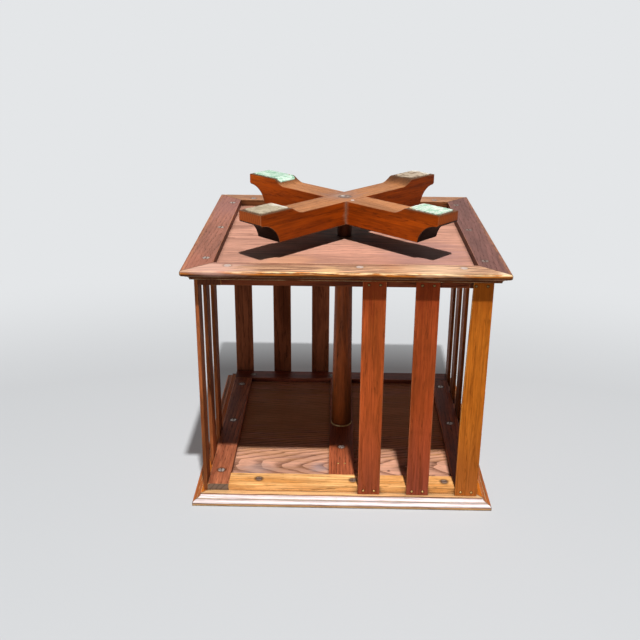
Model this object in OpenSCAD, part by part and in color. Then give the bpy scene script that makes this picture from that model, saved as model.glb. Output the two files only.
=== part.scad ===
// Revolving desktop bookcase in stained oak: two moulded boards joined by
// slats, turning on a tapered post that stands in a cross-lapped base.
// Millimetres, +Z up. The origin is on the table, under the centre of the post.
// Seen from outside, every face has its slats on the left half and is open
// for books on the right half, so the four faces are turns of one another.

/* [Boards] */
// Width of both boards over the moulding
board_w = 362; // [340:1:400]
// Height of the case, over both boards
case_h = 299.7; // [240:0.1:340]
// Thickness of the moulded frame rails
frame_t = 12.5; // [11:0.5:16]
// Width of a rail across its flat face
rail_w = 32.5; // [28:0.5:36]
// Height of the upright nose at the rail's outer edge
nose_h = 3.8; // [3:0.2:7]
// How far the moulding runs in from the nose to the ledge
moulding_w = 9.2; // [6:0.2:11]
// How deep the lower panel lies inside its frame
panel_recess = 9; // [7:0.5:10]
// How far the panel stands above the ledge, inside the battens
panel_rise = 3; // [1:0.5:5]
// Width of the panel's lip that lies in the rails' rebate
lip_w = 6; // [5:0.5:7]
// Play all round a panel, so that it can move in its frame
panel_play = 0.2; // [0.1:0.1:0.5]

/* [Battens] */
// Width of the battens screwed inside each board
batten_w = 26; // [20:0.5:28]
// Thickness of the battens
batten_t = 9; // [7:0.5:11]
// Distance from the centre to a batten's outer face
batten_out = 164; // [155:0.5:165]

/* [Slats] */
// Width of a slat
slat_w = 26.6; // [20:0.2:32]
// Thickness of a slat
slat_t = 4.2; // [3:0.1:6]
// Spacing of the slats, centre to centre
slat_pitch = 59; // [50:0.5:60]
// How much the outermost front slat is trimmed off at its lower end
slat_trim = 4.3; // [0.5:0.1:5]
// Length over which it is trimmed
slat_trim_l = 190; // [60:5:220]
// Softening of a slat's long edges
slat_round = 0.7; // [0.3:0.1:1.2]
// Sideways distance between the two pins at a slat's end
pin_gap = 13; // [9:0.5:16]
// Height of the pins from the slat's end
pin_inset = 5; // [4:0.5:6]

/* [Post and cleat] */
// Diameter of the post in the cross and in the lower panel
journal_d = 18.3; // [15:0.1:20]
// Diameter of the tapered post just above the lower panel
post_low_d = 21.4; // [21:0.1:24]
// Diameter of the tapered post at its top
post_top_d = 27.6; // [25:0.1:30]
// Diameter of the pivot at the top of the post
pivot_d = 14; // [10:0.5:16]
// Radial running clearance of the journal and the pivot
running = 0.06; // [0.02:0.01:0.1]
// Diameter of the thrust washer
thrust_d = 29; // [28:0.5:32]
// Thickness of the thrust washer
thrust_t = 1.4; // [1:0.1:2]
// Width of the cleat that holds the pivot
cleat_w = 32; // [30:0.5:40]
// Thickness of the cleat
cleat_t = 5.5; // [5:0.1:6]

/* [Cross base] */
// Length of an arm, from the centre to its end
arm_l = 160; // [140:1:165]
// Width of an arm
arm_w = 37; // [30:0.5:42]
// Height of an arm, without its felt
arm_h = 36.8; // [32:0.2:42]
// How far the middle of an arm is lifted above its feet
foot_rise = 7.4; // [4:0.2:9]
// Distance from the centre to where the flat foot begins
foot_in = 112; // [100:0.5:112]
// Length of the ogee between the foot and the middle
ogee_l = 19.5; // [14:0.5:26]
// Height of the toe at the arm's end, below the cove
toe_h = 13.5; // [10:0.1:16]
// Bevel between the toe and the cove
toe_lip = 1.8; // [1:0.1:3]
// Radius of the cove above the toe
cove_r = 27.3; // [26:0.1:32]
// Gap between the arms and the lower frame
base_gap = 12.3; // [8:0.1:16]
// How far the cross stands off the diagonal, in degrees
base_turn = -2; // [-10:0.5:10]
// Thickness of the felt pads
felt_t = 1.2; // [0.8:0.1:2]
// Distance from the centre to a felt pad
felt_in = 112.5; // [112.5:0.5:116]
// Length of a felt pad
felt_l = 44; // [30:1:44]
// Width of a felt pad
felt_w = 30; // [24:1:36]

/* [Fasteners] */
// Head diameter of the wood screws
screw_head_d = 8; // [6:0.2:9]
// Shank diameter of the wood screws
screw_d = 4; // [3:0.1:4.5]
// Length of the frame and batten screws
screw_l = 18; // [16:0.5:19]
// Length of the cleat screws
cleat_screw_l = 14; // [10:0.5:16]
// Head diameter of the brass pins
pin_head_d = 2.8; // [2:0.1:3.5]
// Shank diameter of the brass pins
pin_d = 1.4; // [1:0.1:2]
// Length of a brass pin under its head
pin_l = 12; // [8:0.5:14]

/* [Hidden] */
$fn = 64;

// Sides of the case, counted as quarter turns from the front
FRONT = 0;
RIGHT = 1;
BACK = 2;
LEFT = 3;

half_w = board_w / 2;
rail_in = half_w - rail_w;
ledge_out = half_w - moulding_w;
foot_z = felt_t;
arm_mid_z = foot_z + foot_rise;
arm_top = foot_z + arm_h;
case_z = arm_top + base_gap;
total_h = case_z + case_h;
lip_t = frame_t - panel_recess;
panel_t = lip_t + panel_rise;
lip_out = rail_in + lip_w;
body_out = rail_in - panel_play;
cavity_out = batten_out - batten_w;
lower_ledge = case_z + frame_t;
top_ledge = total_h - frame_t;
top_field = top_ledge - panel_rise;
slat_l = top_ledge - lower_ledge;
slat_last = batten_out - slat_w / 2;
batten_low = top_ledge - batten_t;
cleat_z = top_field - cleat_t;
shoulder_z = lower_ledge + panel_rise + 0.4;
post_top_z = cleat_z - 0.1 - thrust_t;
pivot_z = top_field + 4.4;
pivot_bore_z = top_field + 5;
cove_z = foot_z + toe_h + cove_r;
lap_z = (arm_mid_z + arm_top) / 2;
sink = 0.05;
over = 1;

// Where the screws stand: distance from the centre, then places along each side
frame_screw_r = 158.5;
frame_screw_y = [-131, 0, 131];
frame_screw_x = [-131, -16, 131];
batten_screw_r = 151;
batten_screw_y = [-132, 0, 116];
batten_screw_x = [-126, -14, 102];
batten_screw_back = [-137, -14, 125];
cleat_screw_y = [-69, 69];
cleat_pin_y = [-111, 111];
cleat_pin_x = 4.2;

OAK_FRAME = "#7c4526";
OAK_PANEL = "#8a5433";
OAK_BATTEN = "#8c4f26";
OAK_SLAT = "#8b4420";
OAK_BASE = "#9c4f20";
POST_WOOD = "#6f3a20";

// Points of a part of an ellipse about (cx, cy), from angle a to angle b
function arc(cx, cy, rx, ry, a, b, n) =
    [for (i = [0:n]) let (t = a + (b - a) * i / n) [cx + rx * cos(t), cy + ry * sin(t)]];

// Turns a piece drawn at the front to another side
module side(k) {
    rotate([0, 0, 90 * k]) children();
}

// Turns a piece drawn along +X to one end of the cross
module cross_end(k) {
    rotate([0, 0, 45 + base_turn + 90 * k]) children();
}

// Turns a piece of the lower board over, into the top board
module over_to_top() {
    translate([0, 0, case_z + total_h]) mirror([0, 0, 1]) children();
}

// ---- fasteners ----

// Slotted wood screw, head down at z = 0, with play all round for its hole
module screw_body(length, play) {
    head_r = screw_head_d / 2 + play;
    shank_r = screw_d / 2 + play;
    rim = 0.4 + play;
    rotate_extrude() polygon([[0, 0], [head_r, 0], [head_r, rim],
        [shank_r, rim + head_r - shank_r], [shank_r, length - 3], [0.3, length + play],
        [0, length + play]]);
}

module screw(length) {
    slot_w = 1.1;
    slot_h = 1;
    difference() {
        screw_body(length, 0);
        translate([-screw_head_d, -slot_w / 2, -over]) cube([2 * screw_head_d, slot_w, over + slot_h]);
    }
}

module screw_hole(length) {
    screw_body(length, sink);
    translate([0, 0, -over]) cylinder(r = screw_head_d / 2 + sink, h = over + 0.01);
}

// Round-headed brass pin along +Y, with the underside of its head at y = 0
module pin() {
    dome_h = 0.9;
    head_r = pin_head_d / 2;
    rotate([90, 0, 0]) rotate_extrude() polygon(concat(
        [[0, -pin_l], [pin_d / 2, 1 - pin_l], [pin_d / 2, 0]],
        arc(0, 0, head_r, dome_h, 0, 90, 4)));
}

module pin_hole() {
    rotate([-90, 0, 0]) translate([0, 0, -over])
        cylinder(d = pin_d + 2 * sink, h = pin_l + over + sink);
}

// The three places of a side's screws
module frame_screw_places(k) {
    along = (k == LEFT || k == RIGHT) ? frame_screw_y : frame_screw_x;
    for (a = along) side(k) translate([a, -frame_screw_r, case_z]) children();
}

module batten_screw_places(k) {
    along = k == FRONT ? batten_screw_x : k == BACK ? batten_screw_back
        : k == RIGHT ? batten_screw_y : -batten_screw_y;
    for (a = along) side(k) translate([a, -batten_screw_r, batten_low]) children();
}

// The pins of the slat at distance s from the middle of its side, both ends
module pin_places(s) {
    for (dx = [-pin_gap / 2, pin_gap / 2], z = [lower_ledge + pin_inset, top_ledge - pin_inset])
        translate([dx - s, -batten_out - slat_t, z]) children();
}

module side_pin_places() {
    for (i = [0:2]) pin_places(slat_last - i * slat_pitch) children();
}

// The cleat's pins stand up from its face
module cleat_pin_places() {
    for (y = cleat_pin_y, x = [-cleat_pin_x, cleat_pin_x])
        translate([x, y, cleat_z]) rotate([90, 0, 0]) children();
}

module cleat_screw_places() {
    for (y = cleat_screw_y) translate([0, y, cleat_z]) children();
}

// ---- the boards ----

// Section of a rail: outwards from the centre, and up from the frame's face.
// A worn nose, an ovolo, a fillet, a cove, the ledge, and the panel's rebate.
module rail_section() {
    ease = 1.5;
    quirk = moulding_w * 0.46;
    fillet = 0.7;
    step_h = (frame_t - nose_h) * 0.4;
    polygon(concat(
        [[rail_in, 0]],
        arc(half_w - ease, ease, ease, ease, -90, 0, 4),
        arc(half_w - (moulding_w - quirk), nose_h, moulding_w - quirk, step_h, 0, 90, 7),
        arc(half_w - (moulding_w - quirk), frame_t, quirk, frame_t - nose_h - step_h - fillet, -90, -180, 7),
        [[lip_out + panel_play, frame_t],
         [lip_out + panel_play, panel_recess],
         [rail_in, panel_recess]]));
}

// A mitred rail at the front of the lower board
module rail() {
    intersection() {
        rotate([90, 0, -90]) linear_extrude(board_w, center = true) rail_section();
        linear_extrude(frame_t) polygon([[0, 0], [-board_w, -board_w], [board_w, -board_w]]);
    }
}

module lower_rail(k) {
    color(OAK_FRAME) difference() {
        translate([0, 0, case_z]) side(k) rail();
        frame_screw_places(k) screw_hole(screw_l);
    }
}

module top_rail(k) {
    color(OAK_FRAME) difference() {
        over_to_top() translate([0, 0, case_z]) side(k) rail();
        batten_screw_places(k) screw_hole(screw_l);
    }
}

// Square plate of the given half width
module plate(half, z, t) {
    translate([-half, -half, z]) cube([2 * half, 2 * half, t]);
}

// Lower board: the lip lies in the rails' rebate, under the battens, and the
// field rises between the battens. The post's journal turns in the bore.
module lower_panel() {
    color(OAK_PANEL) difference() {
        union() {
            plate(lip_out, case_z + panel_recess, lip_t);
            plate(cavity_out - panel_play, case_z + panel_recess, panel_t);
        }
        for (k = [FRONT:LEFT]) frame_screw_places(k) screw_hole(screw_l);
        translate([0, 0, case_z]) cylinder(r = journal_d / 2 + running, h = frame_t + panel_t);
    }
}

// Top board: the same lip and field, with the board's upper face flush with
// its frame, and a blind hole over the pivot
module top_panel() {
    color(OAK_PANEL) difference() {
        union() {
            plate(lip_out, top_ledge, lip_t);
            plate(cavity_out - panel_play, top_field, panel_rise);
            plate(body_out, top_ledge, frame_t);
        }
        for (k = [FRONT:LEFT]) batten_screw_places(k) screw_hole(screw_l);
        cleat_screw_places() screw_hole(cleat_screw_l);
        cleat_pin_places() pin_hole();
        translate([0, 0, top_field - over])
            cylinder(r = pivot_d / 2 + running, h = pivot_bore_z - top_field + over);
    }
}

// A batten lying along X from one place to another, with softened long edges
// and its outer face at -y
module batten_bar(from, to) {
    ease = 0.8;
    translate([from, -batten_out, 0]) rotate([90, 0, 90]) linear_extrude(to - from)
        polygon(concat(
            [[0, 0], [batten_w, 0]],
            arc(batten_w - ease, batten_t - ease, ease, ease, 0, 90, 4),
            arc(ease, batten_t - ease, ease, ease, 90, 180, 4)));
}

// The back batten runs the full width, the side ones run from it to the front
// face, and the front one butts between them
module batten(k) {
    side(k) batten_bar(
        (k == FRONT || k == LEFT) ? -cavity_out : -batten_out,
        (k == FRONT || k == RIGHT) ? cavity_out : batten_out);
}

module lower_batten(k) {
    color(OAK_BATTEN) difference() {
        translate([0, 0, lower_ledge]) batten(k);
        frame_screw_places(k) screw_hole(screw_l);
        for (j = [FRONT:LEFT]) side(j) side_pin_places() pin_hole();
    }
}

module top_batten(k) {
    color(OAK_BATTEN) difference() {
        translate([0, 0, top_ledge]) mirror([0, 0, 1]) batten(k);
        batten_screw_places(k) screw_hole(screw_l);
        for (j = [FRONT:LEFT]) side(j) side_pin_places() pin_hole();
    }
}

// Strip under the top, from the front batten to the back one, with the pivot's bore
module top_cleat() {
    color(OAK_BATTEN) difference() {
        translate([-cleat_w / 2, -cavity_out, cleat_z]) cube([cleat_w, 2 * cavity_out, cleat_t]);
        translate([0, 0, cleat_z - over]) cylinder(r = pivot_d / 2 + running, h = cleat_t + 2 * over);
        cleat_screw_places() screw_hole(cleat_screw_l);
        cleat_pin_places() pin_hole();
    }
}

// ---- the slats ----

// The strip that is trimmed off the inner edge of the outermost front slat
module slat_trimming() {
    edge = slat_w / 2 - slat_last;
    lean = slat_trim / slat_trim_l;
    translate([0, over - batten_out, 0]) rotate([90, 0, 0]) linear_extrude(slat_t + 2 * over)
        polygon([[edge - slat_trim - lean * over, lower_ledge - over],
            [edge + over, lower_ledge - over],
            [edge + over, lower_ledge + slat_trim_l + over / lean]]);
}

// Slat number n on side k, counted from the middle of the side outwards
module slat(k, n) {
    s = slat_last - (3 - n) * slat_pitch;
    color(OAK_SLAT) side(k) difference() {
        translate([-s, -batten_out - slat_t / 2, lower_ledge]) linear_extrude(slat_l)
            polygon([for (q = [0:3]) let (sx = (q == 0 || q == 3) ? 1 : -1, sy = q < 2 ? 1 : -1)
                each arc(sx * (slat_w / 2 - slat_round), sy * (slat_t / 2 - slat_round),
                    slat_round, slat_round, 90 * q, 90 * q + 90, 3)]);
        pin_places(s) pin_hole();
        if (k == FRONT && n == 3) slat_trimming();
    }
}

module slat_pins(k) {
    color("#c8a24a") side(k) side_pin_places() pin();
}

module lower_frame_screws() {
    color("#8d8a83") for (k = [FRONT:LEFT]) frame_screw_places(k) screw(screw_l);
}

module top_batten_screws() {
    color("#8d8a83") for (k = [FRONT:LEFT]) batten_screw_places(k) screw(screw_l);
}

module cleat_screws() {
    color("#8d8a83") cleat_screw_places() screw(cleat_screw_l);
}

module cleat_pins() {
    color("#c8a24a") cleat_pin_places() pin();
}

// ---- the post and its washer ----

// Turned in one piece: through tenon and journal, shoulder, taper and pivot
module center_post() {
    color(POST_WOOD) rotate_extrude() polygon([
        [0, arm_mid_z], [journal_d / 2, arm_mid_z], [journal_d / 2, shoulder_z],
        [post_low_d / 2 - 1, shoulder_z], [post_low_d / 2, shoulder_z + 1.5],
        [post_top_d / 2, post_top_z - 1.5], [post_top_d / 2 - 1, post_top_z],
        [pivot_d / 2, post_top_z], [pivot_d / 2, pivot_z - 1], [pivot_d / 2 - 1, pivot_z],
        [0, pivot_z]]);
}

// Pale washer between the post's shoulder and the cleat: the case's weight is on it
module thrust_washer() {
    color("#d9c08a") translate([0, 0, post_top_z]) difference() {
        cylinder(d = thrust_d, h = thrust_t);
        translate([0, 0, -over]) cylinder(r = pivot_d / 2 + 0.1, h = thrust_t + 2 * over);
    }
}

// ---- the cross base ----

// Fall of the ogee at t of its length: a long hollow, then a short round
function ogee(t, hollow = 0.78) = t < hollow
    ? hollow * (1 - cos(90 * t / hollow))
    : hollow + (1 - hollow) * sin(90 * (t - hollow) / (1 - hollow));

// Side outline of half an arm, from the middle outwards: the ogee down to the
// foot, the toe, and the cove above it
function half_arm() = concat(
    [for (i = [0:12]) [foot_in - ogee_l * (1 - i / 12), arm_mid_z - foot_rise * ogee(i / 12)]],
    [[arm_l, foot_z], [arm_l, foot_z + toe_h - toe_lip]],
    arc(arm_l - toe_lip, cove_z, cove_r, cove_r, -90, asin((cove_z - arm_top) / cove_r) - 180, 12));

// The whole arm: both halves in one outline, bored for the post
module arm_blank() {
    half = half_arm();
    difference() {
        rotate([90, 0, 0]) linear_extrude(arm_w, center = true) polygon(concat(
            half, [for (i = [len(half) - 1:-1:0]) [-half[i][0], half[i][1]]]));
        cylinder(r = journal_d / 2 + sink, h = arm_top + over);
    }
}

module lap_cut(z0, z1) {
    translate([-arm_w / 2, -arm_w / 2 - over, z0]) cube([arm_w, arm_w + 2 * over, z1 - z0]);
}

// The arm that keeps the upper half of the lap
module base_arm_over() {
    color(OAK_BASE) cross_end(0) difference() {
        arm_blank();
        lap_cut(0, lap_z);
    }
}

// The arm that keeps the lower half of the lap
module base_arm_under() {
    color(OAK_BASE) cross_end(1) difference() {
        arm_blank();
        lap_cut(lap_z, arm_top + over);
    }
}

module felt_pad(k) {
    color("#7fae93") cross_end(k) translate([felt_in, -felt_w / 2, 0]) cube([felt_l, felt_w, felt_t]);
}

base_arm_over();
base_arm_under();
felt_pad(0);  // felt_pad_1
felt_pad(1);  // felt_pad_2
felt_pad(2);  // felt_pad_3
felt_pad(3);  // felt_pad_4
center_post();
thrust_washer();
lower_rail(FRONT);  // lower_rail_front
lower_rail(RIGHT);  // lower_rail_right
lower_rail(BACK);  // lower_rail_back
lower_rail(LEFT);  // lower_rail_left
lower_panel();
lower_batten(FRONT);  // lower_batten_front
lower_batten(RIGHT);  // lower_batten_right
lower_batten(BACK);  // lower_batten_back
lower_batten(LEFT);  // lower_batten_left
top_rail(FRONT);  // top_rail_front
top_rail(RIGHT);  // top_rail_right
top_rail(BACK);  // top_rail_back
top_rail(LEFT);  // top_rail_left
top_panel();
top_batten(FRONT);  // top_batten_front
top_batten(RIGHT);  // top_batten_right
top_batten(BACK);  // top_batten_back
top_batten(LEFT);  // top_batten_left
top_cleat();
slat(FRONT, 1);  // slat_front_1
slat(FRONT, 2);  // slat_front_2
slat(FRONT, 3);  // slat_front_3
slat(RIGHT, 1);  // slat_right_1
slat(RIGHT, 2);  // slat_right_2
slat(RIGHT, 3);  // slat_right_3
slat(BACK, 1);  // slat_back_1
slat(BACK, 2);  // slat_back_2
slat(BACK, 3);  // slat_back_3
slat(LEFT, 1);  // slat_left_1
slat(LEFT, 2);  // slat_left_2
slat(LEFT, 3);  // slat_left_3
slat_pins(FRONT);  // slat_pins_front
slat_pins(RIGHT);  // slat_pins_right
slat_pins(BACK);  // slat_pins_back
slat_pins(LEFT);  // slat_pins_left
lower_frame_screws();
top_batten_screws();
cleat_screws();
cleat_pins();
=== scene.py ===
"""Revolving desktop bookcase in stained oak, photographed standing on its top.

The frame has the bookcase the right way up, with its feet at z = 0. The
photograph shows it upside down, so the camera stands low, looks up and is
rolled half a turn.
"""
import math

import bmesh
import bpy
from mathutils import Euler, Matrix, Vector, noise


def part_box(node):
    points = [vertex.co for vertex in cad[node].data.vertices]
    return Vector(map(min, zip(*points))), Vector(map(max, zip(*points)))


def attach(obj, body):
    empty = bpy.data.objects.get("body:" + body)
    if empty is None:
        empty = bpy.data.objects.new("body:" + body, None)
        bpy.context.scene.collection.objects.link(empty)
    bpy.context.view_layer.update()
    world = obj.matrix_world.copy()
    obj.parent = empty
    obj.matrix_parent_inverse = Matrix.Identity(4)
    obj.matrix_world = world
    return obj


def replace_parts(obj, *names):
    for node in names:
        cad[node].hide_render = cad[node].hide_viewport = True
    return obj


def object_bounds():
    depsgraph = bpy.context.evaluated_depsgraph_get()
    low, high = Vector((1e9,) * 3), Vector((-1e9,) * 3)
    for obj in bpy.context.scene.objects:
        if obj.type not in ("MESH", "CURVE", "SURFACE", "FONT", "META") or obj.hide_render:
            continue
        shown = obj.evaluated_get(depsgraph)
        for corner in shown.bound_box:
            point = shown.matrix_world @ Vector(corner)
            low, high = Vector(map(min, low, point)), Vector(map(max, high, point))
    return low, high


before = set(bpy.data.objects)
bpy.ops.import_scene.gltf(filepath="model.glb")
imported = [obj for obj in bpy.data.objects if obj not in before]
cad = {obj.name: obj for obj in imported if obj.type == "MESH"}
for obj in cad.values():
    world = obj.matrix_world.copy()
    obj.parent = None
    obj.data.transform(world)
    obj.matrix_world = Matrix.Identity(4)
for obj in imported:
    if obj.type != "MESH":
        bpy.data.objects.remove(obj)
cad_low, cad_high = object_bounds()
scene = bpy.context.scene
scene.view_settings.view_transform = "Standard"

# ---------------------------------------------------------------------------
# The camera. It was solved from the corners and slats of the case, to under a
# pixel. The picture's up is almost the bookcase's down.
# ---------------------------------------------------------------------------
camera_data = bpy.data.cameras.new("photo_camera")
camera_data.lens = 48.36
camera_data.sensor_width = 36.0
camera = bpy.data.objects.new("photo_camera", camera_data)
scene.collection.objects.link(camera)
# which way it looks, and which way is up in the picture
look = Vector((0.01687, 0.93015, 0.36680))
head = Vector((0.01332, 0.36661, -0.93028))
turn = Matrix.Identity(3)
turn.col[0] = look.cross(head)
turn.col[1] = head
turn.col[2] = -look
camera.rotation_euler = turn.to_euler()
camera.location = (0.01132, -1.06541, -0.24369)
scene.camera = camera

# ---------------------------------------------------------------------------
# The studio. Two pale floors: one under the feet for the views from above, and
# one under the top board, which the case stands on in the photograph. Each
# shows only to the camera, from its own side, and fades into the backdrop.
# ---------------------------------------------------------------------------
BACKDROP = "#e4e6e8"
FLOOR_PAINT = "#c6c8ca"
FLOOR_HALF = 3.0
# the fade to a glow in the backdrop's colour: its least share, a painted light that lightens the floor's
# shadow, and between which distances in metres it grows
FADE_LEAST = 0.14
FADE_FROM = 0.9
FADE_TO = 2.4
# the facing value, from 0 head-on to 1 edge-on, over which the painted reflection of the backdrop sets in
GRAZE_FROM = 0.55
GRAZE_TO = 0.69
WORLD_LIGHT = 0.036
LAMP_AIM = Vector((0, 0, 0.17))


def linear(colour, share=1.0):
    """sRGB hex to a linear colour with full alpha, darkened to a share of it."""
    parts = [int(colour[i:i + 2], 16) / 255 for i in (1, 3, 5)]
    parts = [c / 12.92 if c <= 0.04045 else ((c + 0.055) / 1.055) ** 2.4 for c in parts]
    return [c * share for c in parts] + [1.0]


def add(tree, kind, inputs=None, **settings):
    """Adds a node. Settings are its properties, inputs its sockets' values or links."""
    node = tree.nodes.new(kind)
    for key, value in settings.items():
        setattr(node, key, value)
    for key, value in (inputs or {}).items():
        if isinstance(value, bpy.types.NodeSocket):
            tree.links.new(value, node.inputs[key])
        else:
            node.inputs[key].default_value = value
    return node


def new_material(name):
    """A material with an empty node tree, and that tree."""
    material = bpy.data.materials.new(name)
    material.use_nodes = True
    material.node_tree.nodes.clear()
    return material, material.node_tree


world = bpy.data.worlds.new("studio_world")
scene.world = world
world.use_nodes = True
tree = world.node_tree
tree.nodes.clear()
path = add(tree, "ShaderNodeLightPath")
seen = add(tree, "ShaderNodeMath", {0: path.outputs["Is Camera Ray"], 1: path.outputs["Is Glossy Ray"]},
           operation="MAXIMUM")
seen = add(tree, "ShaderNodeMath", {0: seen.outputs[0], 1: path.outputs["Is Transmission Ray"]},
           operation="MAXIMUM")
fill = add(tree, "ShaderNodeBackground", {"Color": linear("#ffffff"), "Strength": WORLD_LIGHT})
pale = add(tree, "ShaderNodeBackground", {"Color": linear(BACKDROP), "Strength": 1.0})
both = add(tree, "ShaderNodeMixShader", {0: seen.outputs[0], 1: fill.outputs[0], 2: pale.outputs[0]})
add(tree, "ShaderNodeOutputWorld", {"Surface": both.outputs[0]})


def floor(name, height, upside_down):
    """A pale painted floor that only the camera sees, from its own side."""
    material, tree = new_material(name + "_paint")
    path = add(tree, "ShaderNodeLightPath")
    side = add(tree, "ShaderNodeNewGeometry")
    front = add(tree, "ShaderNodeMath", {0: 1.0, 1: side.outputs["Backfacing"]}, operation="SUBTRACT")
    shown = add(tree, "ShaderNodeMath", {0: front.outputs[0], 1: path.outputs["Is Camera Ray"]},
                operation="MULTIPLY")
    place = add(tree, "ShaderNodeTexCoord")
    reach = add(tree, "ShaderNodeVectorMath", {0: place.outputs["Object"]}, operation="LENGTH")
    far = add(tree, "ShaderNodeMapRange", {
        "Value": reach.outputs["Value"], "From Min": FADE_FROM, "From Max": FADE_TO, "To Min": FADE_LEAST},
        interpolation_type="SMOOTHSTEP")
    fade = far.outputs[0]
    if upside_down:
        # a painted reflection: at a grazing angle the paint gives way to a glow in the backdrop's colour
        gloss = add(tree, "ShaderNodeLayerWeight", {"Blend": 0.5})
        graze = add(tree, "ShaderNodeMapRange", {
            "Value": gloss.outputs["Facing"], "From Min": GRAZE_FROM, "From Max": GRAZE_TO},
            interpolation_type="SMOOTHSTEP")
        both = add(tree, "ShaderNodeMath", {0: fade, 1: graze.outputs[0]}, operation="MAXIMUM")
        fade = both.outputs[0]
    paint = add(tree, "ShaderNodeBsdfDiffuse", {"Color": linear(FLOOR_PAINT)})
    glow = add(tree, "ShaderNodeEmission", {"Color": linear(BACKDROP), "Strength": 1.0})
    surface = add(tree, "ShaderNodeMixShader", {0: fade, 1: paint.outputs[0], 2: glow.outputs[0]})
    clear = add(tree, "ShaderNodeBsdfTransparent")
    out = add(tree, "ShaderNodeMixShader", {0: shown.outputs[0], 1: clear.outputs[0], 2: surface.outputs[0]})
    add(tree, "ShaderNodeOutputMaterial", {"Surface": out.outputs[0]})
    bm = bmesh.new()
    bmesh.ops.create_grid(bm, x_segments=1, y_segments=1, size=FLOOR_HALF)
    if upside_down:
        bmesh.ops.reverse_faces(bm, faces=bm.faces)
    mesh = bpy.data.meshes.new(name)
    bm.to_mesh(mesh)
    bm.free()
    mesh.materials.append(material)
    plane = bpy.data.objects.new(name, mesh)
    plane.location.z = height
    scene.collection.objects.link(plane)


floor("floor_under_feet", 0.0, False)
floor("floor_under_top", cad_high.z, True)

# the photograph's light came from nearly over the upturned feet, so the key lamp
# is low and far; the others are soft, and light the sides that it doesn't reach
for name, place, size, power in (
        ("lamp_key", (-0.25, -2.02, -4.41), 0.16, 315.0),
        ("lamp_front", (0.60, -2.40, 0.42), 1.2, 21.0),
        ("lamp_over", (-1.30, 0.60, 2.00), 0.8, 60.0),
        ("lamp_side", (2.30, 0.30, 1.10), 1.2, 26.0),
        ("lamp_back", (0.20, 2.50, 0.90), 1.2, 28.0)):
    data = bpy.data.lights.new(name, "AREA")
    data.shape = "DISK"
    data.size = size
    data.energy = power
    lamp = bpy.data.objects.new(name, data)
    lamp.location = place
    lamp.rotation_euler = (LAMP_AIM - lamp.location).to_track_quat("-Z", "Y").to_euler()
    lamp.visible_camera = False
    lamp.visible_glossy = name == "lamp_key"
    scene.collection.objects.link(lamp)


# ---------------------------------------------------------------------------
# The cross base. Two arms of rift-sawn oak, half-lapped at the middle, with
# an ogee down to each foot and a deep cove over it. Stained orange-brown and
# varnished, rubbed pale along the arrises. The undersides are painted lighter,
# rubbed wood and painted light, and the coves near-black, as painted shade.
# ---------------------------------------------------------------------------
# millimetres in a metre
MM = 1000.0
# the arms stand two degrees off the diagonals
CROSS_TURN = 43.0
# the height in mm of the cross's lifted underside, where the post's end shows
CROSS_FACE = 8.6
ARM_EASE = 0.0009
SHORTEST_ARRIS = 0.0012
# old wax and dust, and the colour of painted shade in corners and slots
SHADE_AND_GRIME = "#1a0d06"
# how much tighter a mark is out of its face than in it
MARK_SCALE = (1.0, 1.0, 8.0)

# the parts of a frame's rail in metres: their reach from the middle of the
# bookcase, and their rise from the rail's flat face
NOSE_REACH = (0.1788, 0.1792)
CREST_REACH = (0.1745, 0.1800)
CREST_RISE = (0.0024, 0.0012)
MOULDING_REACH = 0.1720
MOULDING_RISE = (0.0036, 0.0040)
HOLLOW_REACH = 0.1716
# dark lines painted at the top of the nose, the fillet and the foot of the cove,
# as painted shade: the rise and half the width of each line, in mm
SHADE_LINES = ((3.9, 0.5), (7.6, 0.55), (12.4, 0.35))


def grain_noise(tree, board, seed, along, across, detail, shift):
    """Noise whose cells are along by across mm, drawn out with the grain."""
    spread = add(tree, "ShaderNodeVectorMath", {
        0: board.outputs[0], 1: (1 / along, 1 / across, 1 / across),
        2: (seed * 7.3 + shift, seed * 3.1, seed * 5.7)}, operation="MULTIPLY_ADD")
    return add(tree, "ShaderNodeTexNoise", {
        "Vector": spread.outputs[0], "Scale": 1.0, "Detail": detail, "Roughness": 0.6})


def growth_rings(tree, board, seed, pith, lean, ring):
    """The share of early wood: the distance from the pith, bent a little, and
    cut into years."""
    bend = grain_noise(tree, board, seed, 120.0, 30.0, 2.0, 1.0)
    bend = add(tree, "ShaderNodeVectorMath", {0: bend.outputs["Color"], 1: (0.5, 0.5, 0.5)},
               operation="SUBTRACT")
    # a ring wanders up to 5 mm to either side
    bend = add(tree, "ShaderNodeVectorMath", {0: bend.outputs[0], 1: (0.0, 10.0, 10.0), 2: board.outputs[0]},
               operation="MULTIPLY_ADD")
    across = add(tree, "ShaderNodeVectorMath", {0: bend.outputs[0], 1: (0.0, pith[0], pith[1])},
                 operation="SUBTRACT")
    across = add(tree, "ShaderNodeVectorMath", {0: across.outputs[0], 1: (0.0, 1.0, 1.0)},
                 operation="MULTIPLY")
    radius = add(tree, "ShaderNodeVectorMath", {0: across.outputs[0]}, operation="LENGTH")
    along = add(tree, "ShaderNodeSeparateXYZ", {0: bend.outputs[0]})
    radius = add(tree, "ShaderNodeMath", {0: along.outputs[0], 1: lean, 2: radius.outputs["Value"]},
                 operation="MULTIPLY_ADD")
    year = add(tree, "ShaderNodeMath", {0: radius.outputs[0], 1: ring}, operation="DIVIDE")
    year = add(tree, "ShaderNodeMath", {0: year.outputs[0]}, operation="FRACT")
    return add(tree, "ShaderNodeMapRange", {
        "Value": year.outputs[0], "From Min": 0.02, "From Max": 0.55, "To Min": 1.0, "To Max": 0.0},
        interpolation_type="SMOOTHSTEP")


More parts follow.
